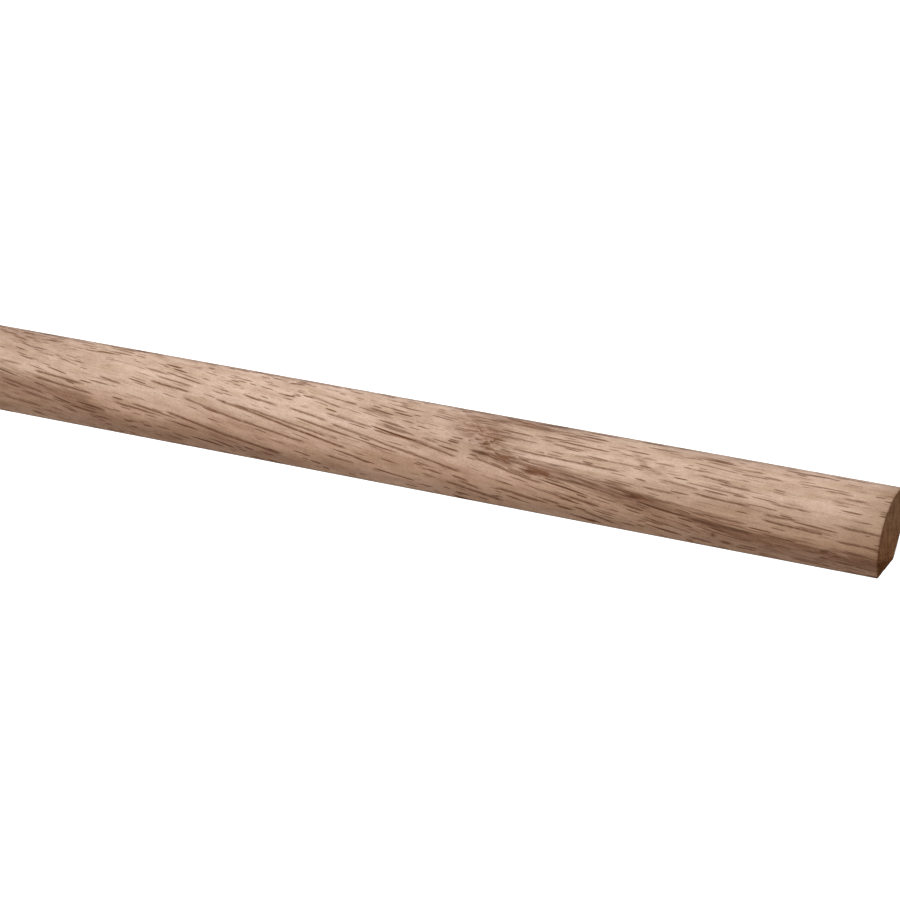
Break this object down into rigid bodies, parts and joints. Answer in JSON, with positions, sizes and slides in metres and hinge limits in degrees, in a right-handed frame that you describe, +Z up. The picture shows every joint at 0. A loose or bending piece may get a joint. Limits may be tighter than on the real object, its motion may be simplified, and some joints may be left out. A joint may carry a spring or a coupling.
{
  "type": "quarter round moulding",
  "caption": "Straight stick of hardwood quarter round: convex front face with short flat lands, flat foot and back, and a relief bevel along the hidden corner.",
  "frame": {"origin": "centre of the underside of the bounding box: halfway along the stick, at foot level, half the leg width in from the toe", "axes": "+X along the stick, towards the end that the picture shows; +Y from the toe and convex face to the flat back that goes against the wall; +Z up from the floor"},
  "size_m": [1.9812, 0.019, 0.0191],
  "materials": {
    "wood": "sanded, unfinished open-grained hardwood with dark pores"
  },
  "bodies": {
    "root": {"quarter_round": "wood"}
  },
  "joints": []
}
